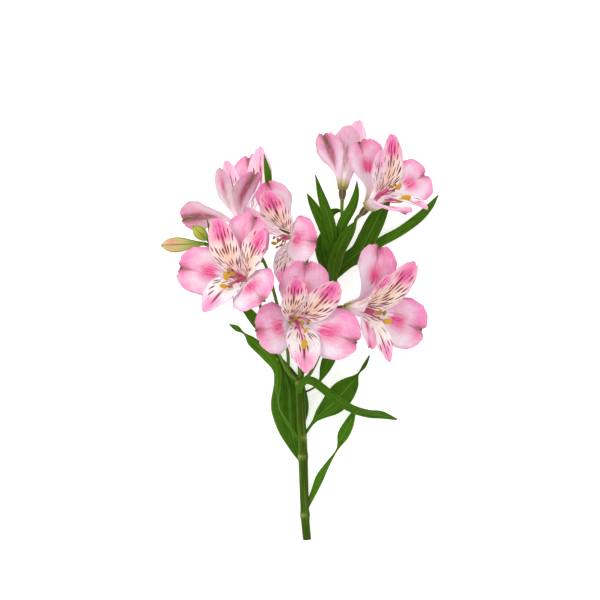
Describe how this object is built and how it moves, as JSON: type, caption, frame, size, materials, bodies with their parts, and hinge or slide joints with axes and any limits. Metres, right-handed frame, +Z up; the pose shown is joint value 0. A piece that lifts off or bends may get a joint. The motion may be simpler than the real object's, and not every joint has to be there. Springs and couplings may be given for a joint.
{
  "type": "peruvian lily cut stem",
  "caption": "Cut flowering stem of a Peruvian lily lying flat: a leafy stalk that forks into open pink blooms and closed buds, for vases, bouquets and table dressing",
  "frame": {"origin": "on the surface that the stem lies on, under the middle of the whole piece seen from above", "axes": "+Z up from the surface, +Y from the cut end of the stem towards the blooms, +X to the right as the picture shows it"},
  "size_m": [0.1824, 0.278, 0.0943],
  "materials": {
    "stem": "green stalks, browner and redder along the main stem, satin",
    "outer_tepals": "pink blades, paler towards the throat, magenta flush, green-brown tip, soft sheen",
    "inner_tepals": "cream to pale pink with dark maroon dashes along the veins, soft sheen",
    "stamens": "magenta filaments with golden to olive anthers",
    "buds": "yellow-green with pink blush lines, satin",
    "leaves": "mid to dark green with parallel veins, satin"
  },
  "bodies": {
    "root": {"stem": "stem", "bloom_left_outer_tepals": "outer_tepals", "bloom_left_inner_tepals": "inner_tepals", "bloom_left_stamens": "stamens", "bloom_front_outer_tepals": "outer_tepals", "bloom_front_inner_tepals": "inner_tepals", "bloom_front_stamens": "stamens", "bloom_right_outer_tepals": "outer_tepals", "bloom_right_inner_tepals": "inner_tepals", "bloom_right_stamens": "stamens", "bloom_upper_right_outer_tepals": "outer_tepals", "bloom_upper_right_inner_tepals": "inner_tepals", "bloom_upper_right_stamens": "stamens", "bloom_top_outer_tepals": "outer_tepals", "bloom_top_inner_tepals": "inner_tepals", "bloom_top_stamens": "stamens", "bloom_upper_left_outer_tepals": "outer_tepals", "bloom_upper_left_inner_tepals": "inner_tepals", "bloom_upper_left_stamens": "stamens", "bloom_middle_outer_tepals": "outer_tepals", "bloom_middle_inner_tepals": "inner_tepals", "bloom_middle_stamens": "stamens", "bud_long": "buds", "bud_round": "buds", "leaf_low_twisted": "leaves", "leaf_low_broad": "leaves", "leaf_low_arching": "leaves", "leaf_low_oval": "leaves", "leaf_low_long": "leaves", "leaf_behind_front_bloom": "leaves", "leaf_under_left_bloom": "leaves", "fork_leaf_pointed": "leaves", "fork_leaf_left": "leaves", "fork_leaf_low": "leaves", "fork_leaf_curled": "leaves", "fork_leaf_dark": "leaves", "fork_leaf_broad": "leaves", "fork_leaf_long": "leaves", "fork_leaf_back": "leaves", "bract_upright": "leaves", "bract_middle": "leaves", "bract_bud": "leaves"}
  },
  "joints": []
}
